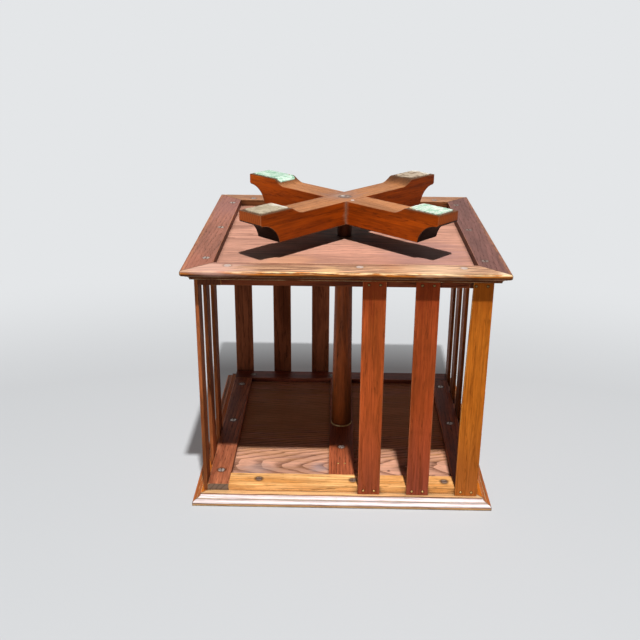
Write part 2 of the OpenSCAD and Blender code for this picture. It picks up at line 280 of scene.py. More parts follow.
def rail_shape(tree, coords, board, seed, shaped, worn, rub):
    """The coats of a rail's nose and moulding, and the painted shade in its hollows."""
    face, nose, moulding = shaped
    place = add(tree, "ShaderNodeVectorMath", {0: coords.outputs["Object"]}, operation="ABSOLUTE")
    place = add(tree, "ShaderNodeSeparateXYZ", {0: place.outputs[0]})
    reach = add(tree, "ShaderNodeMath", {0: place.outputs[0], 1: place.outputs[1]}, operation="MAXIMUM")
    rise = add(tree, "ShaderNodeMath", {0: place.outputs[2], 1: face / MM}, operation="SUBTRACT")
    rise = add(tree, "ShaderNodeMath", {0: rise.outputs[0]}, operation="ABSOLUTE")
    edge = add(tree, "ShaderNodeMapRange", {
        "Value": reach.outputs[0], "From Min": NOSE_REACH[0], "From Max": NOSE_REACH[1]})
    # the crest of the nose is rubbed pale, in broken lengths of about 14 mm
    crest = add(tree, "ShaderNodeMapRange", {
        "Value": rise.outputs[0], "From Min": CREST_RISE[0], "From Max": CREST_RISE[1]})
    brow = add(tree, "ShaderNodeMapRange", {
        "Value": reach.outputs[0], "From Min": CREST_REACH[0], "From Max": CREST_REACH[1]})
    broken = grain_noise(tree, board, seed, 14.0, 2.5, 4.0, 18.0)
    broken = add(tree, "ShaderNodeMapRange", {
        "Value": broken.outputs[0], "From Min": 0.42, "From Max": 0.56, "To Max": min(rub, 1.0)})
    crest = add(tree, "ShaderNodeMath", {0: crest.outputs[0], 1: brow.outputs[0]}, operation="MULTIPLY")
    crest = add(tree, "ShaderNodeMath", {0: crest.outputs[0], 1: broken.outputs[0]}, operation="MULTIPLY")
    outer = add(tree, "ShaderNodeMath", {0: reach.outputs[0], 1: MOULDING_REACH}, operation="GREATER_THAN")
    above = add(tree, "ShaderNodeMapRange", {
        "Value": rise.outputs[0], "From Min": MOULDING_RISE[0], "From Max": MOULDING_RISE[1]})
    above = add(tree, "ShaderNodeMath", {0: above.outputs[0], 1: outer.outputs[0]}, operation="MULTIPLY")
    hollows = 0.0
    for height, half in SHADE_LINES:
        line = add(tree, "ShaderNodeMath", {0: rise.outputs[0], 1: height / MM}, operation="SUBTRACT")
        line = add(tree, "ShaderNodeMath", {0: line.outputs[0]}, operation="ABSOLUTE")
        line = add(tree, "ShaderNodeMapRange", {
            "Value": line.outputs[0], "From Min": 0.0001, "From Max": half / MM, "To Min": 0.8,
            "To Max": 0.0})
        line = add(tree, "ShaderNodeMath", {0: line.outputs[0], 1: hollows}, operation="MAXIMUM")
        hollows = line.outputs[0]
    outer = add(tree, "ShaderNodeMath", {0: reach.outputs[0], 1: HOLLOW_REACH}, operation="GREATER_THAN")
    line_shade = add(tree, "ShaderNodeMath", {0: hollows, 1: outer.outputs[0]}, operation="MULTIPLY")
    coats = [(edge.outputs[0], linear(nose)), (crest.outputs[0], linear(worn)),
             (above.outputs[0], linear(moulding))]
    return coats, line_shade.outputs[0]


def ragged_marks(tree, coords, board, seed, marks):
    """The coats of spots with ragged edges, drawn out along the grain."""
    ragged = grain_noise(tree, board, seed, 40.0, 6.0, 5.0, 15.0)
    ragged = add(tree, "ShaderNodeMath", {0: ragged.outputs[0], 1: 0.5}, operation="SUBTRACT")
    coats = []
    for spot, size, stain, strength in marks:
        counts = tuple(0.0 if v is None else MM * scale for v, scale in zip(spot, MARK_SCALE))
        origin = tuple(-(v or 0.0) * scale for v, scale in zip(spot, MARK_SCALE))
        away = add(tree, "ShaderNodeVectorMath", {0: coords.outputs["Object"], 1: counts, 2: origin},
                   operation="MULTIPLY_ADD")
        away = add(tree, "ShaderNodeVectorMath", {0: away.outputs[0]}, operation="LENGTH")
        away = add(tree, "ShaderNodeMath", {0: ragged.outputs[0], 1: 2.6 * size, 2: away.outputs["Value"]},
                   operation="MULTIPLY_ADD")
        share = add(tree, "ShaderNodeMapRange", {
            "Value": away.outputs[0], "From Min": size * 1.25, "From Max": size * 0.4, "To Max": strength})
        coats.append((share.outputs[0], linear(stain)))
    return coats


def grime_and_shade_share(tree, coords, hollows, mitred, screws, dirt):
    """How much grime, old wax and painted shade lie in the inner corners and hollows,
    and how much grime in the mitres and round the screws."""
    # painted shade, with grime: darker where the surface sees little round it
    shelter = add(tree, "ShaderNodeAmbientOcclusion", {"Distance": 0.010}, samples=4)
    grime = add(tree, "ShaderNodeMapRange", {
        "Value": shelter.outputs["AO"], "From Min": 0.75, "From Max": 0.25, "To Min": 0.0, "To Max": 0.75})
    shares = [hollows] if hollows else []
    if mitred:
        # a dark line within a millimetre of the joint on each diagonal
        axes = add(tree, "ShaderNodeVectorMath", {0: coords.outputs["Object"]}, operation="ABSOLUTE")
        axes = add(tree, "ShaderNodeSeparateXYZ", {0: axes.outputs[0]})
        gap = add(tree, "ShaderNodeMath", {0: axes.outputs[0], 1: axes.outputs[1]}, operation="SUBTRACT")
        gap = add(tree, "ShaderNodeMath", {0: gap.outputs[0]}, operation="ABSOLUTE")
        gap = add(tree, "ShaderNodeMapRange", {
            "Value": gap.outputs[0], "From Min": 0.0003, "From Max": 0.0010, "To Min": 0.85, "To Max": 0.0})
        shares.append(gap.outputs[0])
    for x, y, z, head in screws:
        away = add(tree, "ShaderNodeVectorMath", {0: coords.outputs["Object"], 1: (x, y, z)},
                   operation="DISTANCE")
        away = add(tree, "ShaderNodeMapRange", {
            "Value": away.outputs["Value"], "From Min": 1.12 * head, "From Max": 1.8 * head, "To Min": dirt,
            "To Max": 0.0})
        shares.append(away.outputs[0])
    for share in shares:
        grime = add(tree, "ShaderNodeMath", {0: grime.outputs[0], 1: share}, operation="MAXIMUM")
    return grime.outputs[0]


def stained_oak(name, pieces, light, dark, worn, grain, pith=(160.0, 40.0), lean=0.01, ring=3.6, seed=1.0,
                figure=0.5, pores=0.8, streaky=1.0, rub=1.0, rough=0.50, gloss=0.10, varnish=0.0,
                end_grain="#54402f", lit_below=None, up_shade=None, height_tint=None, shaped=None, marks=(), screws=(),
                dirt=0.7, mitred=False):
    """Stained and varnished oak: growth rings cut by the board, open pores,
    streaks of light and dark, uneven stain, grime and painted shade in the
    corners, and arrises rubbed to raw wood.

    light and dark are the stain's colours, and worn the rubbed wood's. grain
    turns the object's axes so that the wood runs along X and the board faces Z.
    pith is where the rings' middle lies, across and under the piece, and ring
    a year's growth, in mm. lean is how much the tree leans along the piece, and
    seed moves all the patterns. figure, pores, streaky, rub and dirt are the
    strengths of the rings, the pores, the streaks, the rubbed arrises and the
    dirt round the screws; rough, gloss and varnish are the surface's roughness,
    its specular level and its coat. faded is a lighter copy of the stain painted
    on the faces that look down, as painted light, and thick a colour painted on
    the faces that look up, as painted shade; end_grain is that of the cut ends.
    greyed is a colour painted over the wood between two heights in mm, a painted
    shade on the post. shaped is the height in mm of a rail's face, and the
    colours of its nose and its moulding, which carry painted shade and sheen.
    marks are spots: a place in mm with None for an axis that doesn't count, a
    radius, a colour and a strength. screws are places and radii of heads, in
    metres. A mitred piece has dirt in its mitres."""
    material, tree = new_material(name)
    low = Vector([min(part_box(p)[0][i] for p in pieces) for i in range(3)])
    high = Vector([max(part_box(p)[1][i] for p in pieces) for i in range(3)])
    spin = Euler([math.radians(a) for a in grain])
    middle = spin.to_matrix() @ ((low + high) / 2)
    along_grain = spin.to_matrix().transposed() @ Vector((1, 0, 0))
    coords = add(tree, "ShaderNodeTexCoord")
    board = add(tree, "ShaderNodeMapping", {
        "Vector": coords.outputs["Object"], "Location": -MM * middle, "Rotation": spin,
        "Scale": (MM, MM, MM)})
    facing = add(tree, "ShaderNodeSeparateXYZ", {0: coords.outputs["Normal"]})
    early = growth_rings(tree, board, seed, pith, lean, ring)

    # pores are 0.3 mm wide; drawn about 0.8 mm wide so that they show
    pore = grain_noise(tree, board, seed, 11.0, 0.75, 1.0, 4.0)
    pore = add(tree, "ShaderNodeMapRange", {"Value": pore.outputs[0], "From Min": 0.54, "From Max": 0.62})
    where = add(tree, "ShaderNodeMath", {0: early.outputs[0], 1: 0.7, 2: 0.3}, operation="MULTIPLY_ADD")
    pore = add(tree, "ShaderNodeMath", {0: pore.outputs[0], 1: where.outputs[0]}, operation="MULTIPLY")
    # the streaks are 1.6 mm wide, and the stain took in patches of 130 by 22 mm
    streak = grain_noise(tree, board, seed, 60.0, 1.6, 3.0, 7.0)
    dull = add(tree, "ShaderNodeMapRange", {
        "Value": streak.outputs[0], "From Min": 0.50, "From Max": 0.66, "To Max": 0.34 * streaky})
    gleam = add(tree, "ShaderNodeMapRange", {
        "Value": streak.outputs[0], "From Min": 0.48, "From Max": 0.34, "To Max": 0.45 * streaky})
    tone = grain_noise(tree, board, seed, 130.0, 22.0, 3.0, 9.0)
    tone = add(tree, "ShaderNodeMapRange", {"Value": tone.outputs[0], "From Min": 0.34, "From Max": 0.66},
               interpolation_type="SMOOTHSTEP")

    # the coats lie over the stain one by one, each by a share and in a colour
    coats = []
    hollows = None
    if height_tint:
        grey, start, end = height_tint
        height = add(tree, "ShaderNodeSeparateXYZ", {0: coords.outputs["Object"]})
        share = add(tree, "ShaderNodeMapRange", {
            "Value": height.outputs[2], "From Min": start / MM, "From Max": end / MM, "To Max": 0.75})
        coats.append((share.outputs[0], linear(grey)))
    if lit_below:
        # the faces that look down are painted in a lighter copy of the stain: painted light
        under = add(tree, "ShaderNodeMapRange", {
            "Value": facing.outputs[2], "From Min": -0.55, "From Max": -0.95})
        pale = add(tree, "ShaderNodeMix", {0: tone.outputs[0], 6: linear(lit_below), 7: linear(lit_below, 0.68)},
                   data_type="RGBA")
        coats.append((under.outputs[0], pale.outputs[2]))
    if shaped:
        edges, hollows = rail_shape(tree, coords, board, seed, shaped, worn, rub)
        coats += edges
    rings = add(tree, "ShaderNodeMath", {0: early.outputs[0], 1: figure}, operation="MULTIPLY")
    holes = add(tree, "ShaderNodeMath", {0: pore.outputs[0], 1: pores}, operation="MULTIPLY")
    coats += [(rings.outputs[0], linear(dark)), (dull.outputs[0], linear(dark, 0.35)),
              (gleam.outputs[0], None), (holes.outputs[0], linear(dark, 0.35))]

    # end grain drinks more stain, and the rings show as dark arcs
    end = add(tree, "ShaderNodeVectorMath", {0: coords.outputs["Normal"], 1: along_grain},
              operation="DOT_PRODUCT")
    end = add(tree, "ShaderNodeMath", {0: end.outputs["Value"]}, operation="ABSOLUTE")
    end = add(tree, "ShaderNodeMapRange", {"Value": end.outputs[0], "From Min": 0.80, "From Max": 0.97})
    arcs = add(tree, "ShaderNodeMath", {0: early.outputs[0], 1: 0.5}, operation="MULTIPLY")
    cut = add(tree, "ShaderNodeMix", {0: arcs.outputs[0], 6: linear(end_grain), 7: linear(end_grain, 0.35)},
              data_type="RGBA")
    coats.append((end.outputs[0], cut.outputs[2]))
    if marks:
        coats += ragged_marks(tree, coords, board, seed, marks)
    if up_shade:
        # the faces that look up are painted near-black: painted shade
        over = add(tree, "ShaderNodeMapRange", {
            "Value": facing.outputs[2], "From Min": 0.01, "From Max": 0.07})
        coats.append((over.outputs[0], linear(up_shade)))

    # arrises rubbed through the stain, more in some places than in others
    patch = grain_noise(tree, board, seed, 26.0, 12.0, 4.0, 12.0)
    patch = add(tree, "ShaderNodeMapRange", {"Value": patch.outputs[0], "From Min": 0.38, "From Max": 0.56})
    surface = add(tree, "ShaderNodeNewGeometry")
    rounded = add(tree, "ShaderNodeBevel", {"Radius": 0.0016}, samples=4)
    same = add(tree, "ShaderNodeVectorMath", {0: rounded.outputs[0], 1: surface.outputs["Normal"]},
               operation="DOT_PRODUCT")
    arris = add(tree, "ShaderNodeMapRange", {
        "Value": same.outputs["Value"], "From Min": 0.995, "From Max": 0.85, "To Min": 0.0, "To Max": rub})
    arris = add(tree, "ShaderNodeMath", {0: arris.outputs[0], 1: patch.outputs[0]}, operation="MULTIPLY")
    coats.append((arris.outputs[0], linear(worn)))
    coats.append((grime_and_shade_share(tree, coords, hollows, mitred, screws, dirt), linear(SHADE_AND_GRIME)))

    stain = add(tree, "ShaderNodeMix", {0: tone.outputs[0], 6: linear(light), 7: linear(dark)},
                data_type="RGBA")
    colour = stain.outputs[2]
    for share, coat in coats:
        if coat is None:
            # a gleam is the colour under it, a third brighter
            bright = add(tree, "ShaderNodeVectorMath", {0: colour, "Scale": 1.35}, operation="SCALE")
            coat = bright.outputs[0]
        laid = add(tree, "ShaderNodeMix", {0: share, 6: colour, 7: coat}, data_type="RGBA")
        colour = laid.outputs[2]

    # pores and rubbed arrises are rougher, and pores lie a little deep
    shine = add(tree, "ShaderNodeMath", {0: pore.outputs[0], 1: 0.2, 2: rough}, operation="MULTIPLY_ADD")
    shine = add(tree, "ShaderNodeMath", {0: arris.outputs[0], 1: 0.2, 2: shine.outputs[0]},
                operation="MULTIPLY_ADD")
    relief = add(tree, "ShaderNodeMath", {0: pore.outputs[0], 1: -1.0, 2: dull.outputs[0]},
                 operation="MULTIPLY_ADD")
    bump = add(tree, "ShaderNodeBump", {"Height": relief.outputs[0], "Strength": 0.35, "Distance": 0.00025})
    # the faces that look up are only waxed
    coat = add(tree, "ShaderNodeMapRange", {
        "Value": facing.outputs[2], "From Min": 0.9, "From Max": 0.5, "To Max": varnish})
    wood = add(tree, "ShaderNodeBsdfPrincipled", {
        "Base Color": colour, "Roughness": shine.outputs[0], "Normal": bump.outputs[0],
        "IOR": 1.5, "Specular IOR Level": gloss, "Coat Weight": coat.outputs[0], "Coat Roughness": 0.30})
    add(tree, "ShaderNodeOutputMaterial", {"Surface": wood.outputs[0]})
    return material


def wear(node, material):
    """Gives a CAD node its finish."""
    slots = cad[node].data.materials
    slots.clear()
    slots.append(material)


def finish_mesh(bm, name, body, material):
    """Makes the piece and lets it ride on its body."""
    mesh = bpy.data.meshes.new(name)
    bm.to_mesh(mesh)
    bm.free()
    mesh.materials.append(material)
    piece = bpy.data.objects.new(name, mesh)
    scene.collection.objects.link(piece)
    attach(piece, body)
    return piece


def eased_copy(node, width, shortest):
    """The node's solid with its long sharp arrises eased as by hand and wear."""
    bm = bmesh.new()
    bm.from_mesh(cad[node].data)
    bmesh.ops.remove_doubles(bm, verts=bm.verts, dist=1e-6)
    bmesh.ops.dissolve_limit(bm, angle_limit=math.radians(0.5), verts=bm.verts, edges=bm.edges)
    sharp = [e for e in bm.edges if len(e.link_faces) == 2 and e.calc_length() > shortest
             and e.is_convex and e.calc_face_angle() > math.radians(40)]
    bmesh.ops.bevel(bm, geom=sharp, offset=width, offset_type="OFFSET", affect="EDGES", segments=3,
                    profile=0.5, clamp_overlap=True, material=-1)
    return bm


# old glue at the post's end, and a run of it down the front corner of the cross
ARM_MARKS = (((3.0, 4.0, CROSS_FACE), 30.0, "#8a6f68", 0.45), ((2.0, 2.0, CROSS_FACE), 10.0, "#a88c7c", 0.8),
             ((-9.0, -19.0, CROSS_FACE), 2.6, "#f4eee8", 1.0), ((-0.9, -26.1, None), 4.2, "#ac7656", 0.5),
             ((-0.9, -26.1, None), 1.3, "#c8a08a", 0.4))
for kind, angle, light, dark, seed in (
        ("over", -CROSS_TURN, "#b04c09", "#823608", 1.0),
        ("under", -CROSS_TURN - 90.0, "#9e4308", "#742e06", 2.0)):
    node = "base_arm_" + kind
    oak = stained_oak("oak_arm_" + kind, [node], light, dark, "#cf9468", (0, 0, angle), ring=3.2, seed=seed,
                      lit_below="#c58453", up_shade="#180b06", marks=ARM_MARKS, figure=0.3, pores=0.6, rub=0.6,
                      end_grain="#9a4a1c")
    arm = finish_mesh(eased_copy(node, ARM_EASE, SHORTEST_ARRIS), "worn_arm_" + kind, "base", oak)
    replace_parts(arm, node)

# ---------------------------------------------------------------------------
# The felt pads. Four oblongs of green baize, 44 x 30 mm and 1.2 mm thick, cut
# with scissors and glued under the feet. Two are still green. The other two
# are worn down to grey-brown fluff and old glue.
# ---------------------------------------------------------------------------
# in mm; a pad starts at FELT_INNER from the middle of the cross
FELT_INNER = 112.5
FELT_LENGTH = 44.0
FELT_WIDTH = 30.0
FELT_THICK = 1.19
FELT_CORNER = 3.0
# how much the cut edges and the worn underside wander
FELT_FRAY = 0.35
FELT_FRAY_SPREAD = 0.9
FELT_DENT = 0.12
# the arm's ogee, from where it leaves the middle down to the foot
OGEE_START = 92.5
OGEE_LENGTH = 19.5
OGEE_HEIGHT = 7.4
OGEE_HOLLOW = 0.78
GLUE = "#e9e0d2"
GLUE_WANDER = 36.0


def worn_felt(name, angle, nap, fade, bald, wear_level, glue_from, glue_to):
    """Baize: a matt fuzz of fine fibres, with bald places and a line of glue
    between two distances in mm from the middle of the cross."""
    material, tree = new_material(name)
    coords = add(tree, "ShaderNodeTexCoord")
    pad = add(tree, "ShaderNodeMapping", {
        "Vector": coords.outputs["Object"], "Rotation": (0, 0, -math.radians(angle)), "Scale": (MM, MM, MM)})
    # fibres lie in tufts of about 1 mm; drawn near 2 mm so that they show
    fuzz = add(tree, "ShaderNodeTexNoise", {
        "Vector": pad.outputs[0], "Scale": 0.55, "Detail": 5.0, "Roughness": 0.7})
    # the bald places are about 9 mm apart
    patch = add(tree, "ShaderNodeTexNoise", {"Vector": pad.outputs[0], "Scale": 0.11, "Detail": 5.0})
    bare = add(tree, "ShaderNodeMapRange", {
        "Value": patch.outputs[0], "From Min": 0.66 - wear_level, "From Max": 0.74 - wear_level})
    # the nap is brushed into pale streaks, 4 mm wide, across the pad
    brushed = add(tree, "ShaderNodeVectorMath", {0: pad.outputs[0], 1: (0.26, 0.07, 0.26)},
                  operation="MULTIPLY")
    brushed = add(tree, "ShaderNodeTexNoise", {"Vector": brushed.outputs[0], "Scale": 1.0, "Detail": 3.0})
    shade = add(tree, "ShaderNodeMath", {0: fuzz.outputs[0], 1: brushed.outputs[0]}, operation="ADD")
    shade = add(tree, "ShaderNodeMapRange", {"Value": shade.outputs[0], "From Min": 0.86, "From Max": 1.14})
    colour = add(tree, "ShaderNodeMix", {0: shade.outputs[0], 6: linear(nap), 7: linear(fade)},
                 data_type="RGBA")
    colour = add(tree, "ShaderNodeMix", {0: bare.outputs[0], 6: colour.outputs[2], 7: linear(bald)},
                 data_type="RGBA")
    along = add(tree, "ShaderNodeSeparateXYZ", {0: pad.outputs[0]})
    ragged = add(tree, "ShaderNodeMath", {0: patch.outputs[0], 1: GLUE_WANDER, 2: along.outputs[0]},
                 operation="MULTIPLY_ADD")
    glue = add(tree, "ShaderNodeMapRange", {
        "Value": ragged.outputs[0], "From Min": glue_from + GLUE_WANDER / 2,
        "From Max": glue_to + GLUE_WANDER / 2})
    colour = add(tree, "ShaderNodeMix", {0: glue.outputs[0], 6: colour.outputs[2], 7: linear(GLUE)},
                 data_type="RGBA")
    bump = add(tree, "ShaderNodeBump", {"Height": fuzz.outputs[0], "Strength": 0.7, "Distance": 0.0004})
    cloth = add(tree, "ShaderNodeBsdfPrincipled", {
        "Base Color": colour.outputs[2], "Roughness": 0.95, "Normal": bump.outputs[0],
        "Specular IOR Level": 0.1, "Sheen Weight": 0.25, "Sheen Roughness": 0.6})
    add(tree, "ShaderNodeOutputMaterial", {"Surface": cloth.outputs[0]})
    return material


def ogee_rise(distance):
    """How far the arm's underside has risen at a distance in mm from the middle:
    a long hollow, then a short round over the last fifth before the foot."""
    share = min(max((distance - OGEE_START) / OGEE_LENGTH, 0.0), 1.0)
    if share < OGEE_HOLLOW:
        fall = OGEE_HOLLOW * (1 - math.cos(math.pi / 2 * share / OGEE_HOLLOW))
    else:
        left = 1 - OGEE_HOLLOW
        fall = OGEE_HOLLOW + left * math.sin(math.pi / 2 * (share - OGEE_HOLLOW) / left)
    return OGEE_HEIGHT * (1 - fall)


# one pad runs 9 mm over the start of the ogee
for number, foot, overrun, material in (
        (1, "over", 9.0, ("#e0f2e2", "#86ba98", "#b9a184", 0.02, 84.0, 70.0)),
        (2, "under", 0.0, ("#ae9a82", "#d0bca2", "#7e6046", 0.16, 149.0, 154.0)),
        (3, "over", 0.0, ("#f4f6ec", "#94c8a6", "#d2b690", 0.08, 84.0, 70.0)),
        (4, "under", 0.0, ("#c2b296", "#a09074", "#d0c0a2", 0.12, 122.0, 113.0))):
    angle = CROSS_TURN + 90.0 * (number - 1)
    length = FELT_LENGTH + overrun
    bm = bmesh.new()
    bmesh.ops.create_grid(bm, x_segments=int(length), y_segments=int(FELT_WIDTH), size=0.5)
    bmesh.ops.scale(bm, vec=(length, FELT_WIDTH, 1), verts=bm.verts)
    centre = Vector((FELT_INNER - overrun + length / 2, 0, 0))
    for vert in bm.verts:
        # corners snipped round, edges frayed, and the underside worn uneven
        edge_x = abs(vert.co.x) - length / 2 + FELT_CORNER
        edge_y = abs(vert.co.y) - FELT_WIDTH / 2 + FELT_CORNER
        reach = math.hypot(max(edge_x, 0), max(edge_y, 0))
        if reach > FELT_CORNER:
            vert.co.x -= math.copysign(max(edge_x, 0) * (1 - FELT_CORNER / reach), vert.co.x)
            vert.co.y -= math.copysign(max(edge_y, 0) * (1 - FELT_CORNER / reach), vert.co.y)
        if vert.is_boundary:
            ragged = noise.noise(vert.co * 0.45 + Vector((0, 0, 9.0 * number)))
            vert.co -= vert.co.normalized() * max(FELT_FRAY + FELT_FRAY_SPREAD * ragged, 0.0)
        place = vert.co + centre
        dent = FELT_DENT + FELT_DENT * noise.noise(vert.co * 0.22 + Vector((0, 0, 5.0 * number)))
        vert.co.z = dent + (ogee_rise(place.x) if overrun else 0.0)
    skin = bmesh.ops.extrude_face_region(bm, geom=bm.faces[:])
    for vert in (v for v in skin["geom"] if isinstance(v, bmesh.types.BMVert)):
        vert.co.z = FELT_THICK + (ogee_rise(vert.co.x + centre.x) if overrun else 0.0)
    bmesh.ops.recalc_face_normals(bm, faces=bm.faces)
    bmesh.ops.translate(bm, vec=centre, verts=bm.verts)
    bmesh.ops.scale(bm, vec=(1 / MM, 1 / MM, 1 / MM), verts=bm.verts)
    bmesh.ops.rotate(bm, matrix=Matrix.Rotation(math.radians(angle), 3, "Z"), verts=bm.verts)
    felt = finish_mesh(bm, "baize_pad_%d" % number, "base",
                       worn_felt("baize_%d" % number, angle, *material))
    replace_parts(felt, "felt_pad_%d" % number)

# ---------------------------------------------------------------------------
# The post. One piece of oak turned on the lathe: a tenon glued through the
# cross, the journal that the lower board turns on, a shoulder, a long taper
# and the pivot. Dark stain under a thick varnish that shines down its length.
# ---------------------------------------------------------------------------
# radius and height in mm, from the tenon's end up to the pivot's
POST_PROFILE = ((0, CROSS_FACE), (9.15, CROSS_FACE), (9.15, 66.2), (9.9, 66.3), (10.5, 66.8), (10.7, 67.7),
                (13.8, 326.0), (13.5, 327.0), (12.8, 327.5), (7.0, 327.5), (7.0, 337.9), (6.0, 338.9),
                (0, 338.9))
# two pale spots of old glue on the tenon's end
POST_MARKS = (((3.0, 3.0, CROSS_FACE), 2.4, "#e4dcd4", 0.9), ((-3.5, 0.5, CROSS_FACE), 1.8, "#d8ccc0", 0.8))


def turned(profile, steps, name, body, material, closed=False):
    """Spins a profile of radius and height in mm about the upright axis."""
    bm = bmesh.new()
    verts = [bm.verts.new((r / MM, 0, z / MM)) for r, z in profile]
    for a, b in zip(verts, verts[1:] + (verts[:1] if closed else [])):
        bm.edges.new((a, b))
    bmesh.ops.spin(bm, geom=bm.verts[:] + bm.edges[:], cent=(0, 0, 0), axis=(0, 0, 1), dvec=(0, 0, 0),
                   angle=2 * math.pi, steps=steps, use_merge=True)
    bmesh.ops.remove_doubles(bm, verts=bm.verts, dist=1e-6)
    bmesh.ops.recalc_face_normals(bm, faces=bm.faces)
    for face in bm.faces:
        face.smooth = True
    for edge in bm.edges:
        edge.smooth = edge.calc_face_angle(0) < math.radians(35)
    return finish_mesh(bm, name, body, material)


# below 74 mm, on the journal under the cross, the post is painted near-black: painted shade
oak = stained_oak("oak_post", ["center_post"], "#8a4520", "#522a13", "#b06a3c", (0, 90, 0), seed=17.0,
                  varnish=0.1, rough=0.45, end_grain="#7c6050", marks=POST_MARKS,
                  height_tint=("#1c0b06", 74.0, 62.0))
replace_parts(turned(POST_PROFILE, 96, "turned_post", "base", oak), "center_post")

# ---------------------------------------------------------------------------
# The thrust washer. A pale fibre ring on the post's shoulder, under the cleat;
# the whole case hangs on it. Waxed, slightly dirty card-like fibre.
# ---------------------------------------------------------------------------
WASHER_PROFILE = ((7.1, 327.5), (14.2, 327.5), (14.5, 327.8), (14.5, 328.6), (14.2, 328.9), (7.1, 328.9))
fibre, tree = new_material("pale_fibre")
coords = add(tree, "ShaderNodeTexCoord")
# felted fibre, about 0.8 mm, with larger greasy stains
fine = add(tree, "ShaderNodeTexNoise", {"Vector": coords.outputs["Object"], "Scale": 1200.0, "Detail": 3.0})
stain = add(tree, "ShaderNodeTexNoise", {"Vector": coords.outputs["Object"], "Scale": 160.0, "Detail": 3.0})
blend = add(tree, "ShaderNodeMapRange", {"Value": stain.outputs[0], "From Min": 0.42, "From Max": 0.66})
colour = add(tree, "ShaderNodeMix", {0: blend.outputs[0], 6: linear("#e2cc9c"), 7: linear("#a87f4e")},
             data_type="RGBA")
bump = add(tree, "ShaderNodeBump", {"Height": fine.outputs[0], "Strength": 0.3, "Distance": 0.0002})
card = add(tree, "ShaderNodeBsdfPrincipled", {
    "Base Color": colour.outputs[2], "Roughness": 0.6, "Normal": bump.outputs[0], "Specular IOR Level": 0.3})
add(tree, "ShaderNodeOutputMaterial", {"Surface": card.outputs[0]})
washer = turned(WASHER_PROFILE, 64, "fibre_washer", "base", fibre, closed=True)
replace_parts(washer, "thrust_washer")

# ---------------------------------------------------------------------------
# The lower board's frame. Four mitred oak rails with a rounded nose and a
# moulding of an ovolo and a cove above it. The undersides are painted lighter,
# most of all at the front: rubbed and bleached wood, and painted light. The
# moulding is painted dark, as painted shade, and the rest keeps its dark stain.
# ---------------------------------------------------------------------------
# the height of the rails' flat underside in mm
LOWER_FACE = 50.3
# in metres: a head's radius, and the screws' distance from the middle
SCREW_HEAD = 0.004
RAIL_LINE = 0.1585
RAIL_SCREWS = {
    "front": [(x, -RAIL_LINE, LOWER_FACE / MM, SCREW_HEAD) for x in (-0.131, -0.016, 0.131)],
    "back": [(x, RAIL_LINE, LOWER_FACE / MM, SCREW_HEAD) for x in (0.131, 0.016, -0.131)],
    "right": [(RAIL_LINE, y, LOWER_FACE / MM, SCREW_HEAD) for y in (-0.131, 0.0, 0.131)],
    "left": [(-RAIL_LINE, y, LOWER_FACE / MM, SCREW_HEAD) for y in (-0.131, 0.0, 0.131)],
}
FRONT_MARKS = (((150.0, None, LOWER_FACE), 42.0, "#d8a898", 0.7),
               ((18.0, -173.0, LOWER_FACE), 13.0, "#ffd090", 0.45),
               ((-60.0, -165.0, LOWER_FACE), 20.0, "#d2946a", 0.4),
               ((-174.0, -176.0, LOWER_FACE), 8.0, "#ffe2c0", 0.6),
               ((None, -150.0, LOWER_FACE), 4.5, "#84503f", 0.7),
               ((-100.0, -163.0, LOWER_FACE), 34.0, "#ffd8b0", 0.45))
RIGHT_MARKS = (((None, -150.0, LOWER_FACE), 40.0, "#a86650", 0.4),
               ((None, 110.0, LOWER_FACE), 60.0, "#92645e", 0.5))
# under is a lighter copy of the stain, painted light; the moulding colours are painted shade
for name, light, dark, under, worn, spin, seed, nose, moulding, figure, streaky, marks in (
        ("front", "#94552c", "#6a3a1e", "#f2bb94", "#fcd6a0", 0, 3.0, "#c8742e", "#522813", 1.0, 2.4,
         FRONT_MARKS),
        ("back", "#84502e", "#5c341e", "#c88e68", "#d8a070", 0, 4.0, "#8a5634", "#54301c", 0.4, 1.0, ()),
        ("right", "#7c4026", "#502817", "#b0725c", "#b87c54", -90, 5.0, "#8a5030", "#4c2818", 0.2, 0.6,
         RIGHT_MARKS),
        ("left", "#6c3a28", "#44241a", "#84584f", "#a87050", -90, 6.0, "#7a4a36", "#40221a", 0.2, 0.6, ())):
    node = "lower_rail_" + name
    wear(node, stained_oak("oak_" + node, [node], light, dark, worn, (0, 0, spin), pith=(60.0, -70.0),
                           lean=0.03, seed=seed, lit_below=under, mitred=True, screws=RAIL_SCREWS[name],
                           rub=1.3, figure=figure, pores=0.7, dirt=0.3, streaky=streaky, marks=marks,
                           shaped=(LOWER_FACE, nose, moulding)))

# ---------------------------------------------------------------------------
# The lower panel. One wide flat-sawn oak board, loose in the rails' rebate.
# Its underside is painted a pale pinkish brown, a lighter copy of the stain: painted light.
# ---------------------------------------------------------------------------
# the height of its underside in mm
PANEL_FACE = 59.3
# a purple-grey patch, partly a painted reflection, and two orange ones
PANEL_MARKS = (((-100.0, -80.0, PANEL_FACE), 55.0, "#a47a78", 0.5),
               ((70.0, -118.0, PANEL_FACE), 34.0, "#e2a47c", 0.5),
               ((-40.0, -128.0, PANEL_FACE), 24.0, "#d2937c", 0.5))
wear("lower_panel", stained_oak("oak_lower_panel", ["lower_panel"], "#8c5636", "#5e351e", "#a0663c",
                                (0, 0, 0), pith=(30.0, -160.0), lean=0.02, seed=7.0, rub=0.0, figure=0.2,
                                pores=0.4, lit_below="#dca28a", marks=PANEL_MARKS, rough=0.55, gloss=0.05,
                                streaky=0.7))

